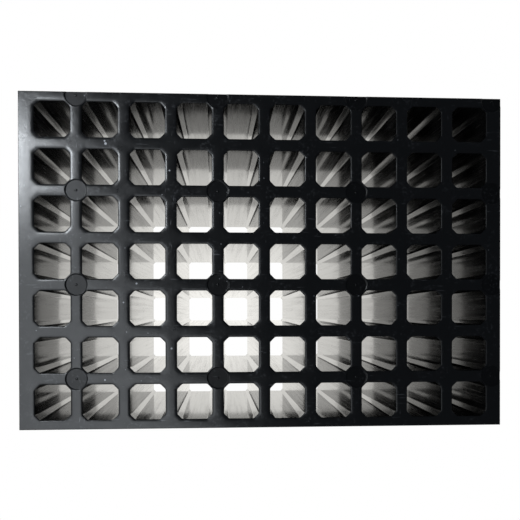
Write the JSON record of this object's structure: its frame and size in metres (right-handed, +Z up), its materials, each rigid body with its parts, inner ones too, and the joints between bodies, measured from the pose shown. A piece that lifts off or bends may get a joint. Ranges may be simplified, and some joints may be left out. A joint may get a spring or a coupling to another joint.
{
  "type": "seedling tray",
  "caption": "Deep black plastic tray for raising seedling plugs: square, tapered, open-bottomed cells with cut corners hang from one flat deck with sunk gate pads.",
  "frame": {"origin": "centre of the tray at the level of its open cell bottoms", "axes": "+Z up out of the deck, +X along the tray's long side, +Y along its short side, away from the viewer in the picture"},
  "size_m": [0.395, 0.2718, 0.12],
  "materials": {
    "black_plastic": "black moulded polypropylene: satin deck with fine scuffs, glossy walls inside the cells"
  },
  "bodies": {
    "root": {"seedling_tray": "black_plastic"}
  },
  "joints": []
}
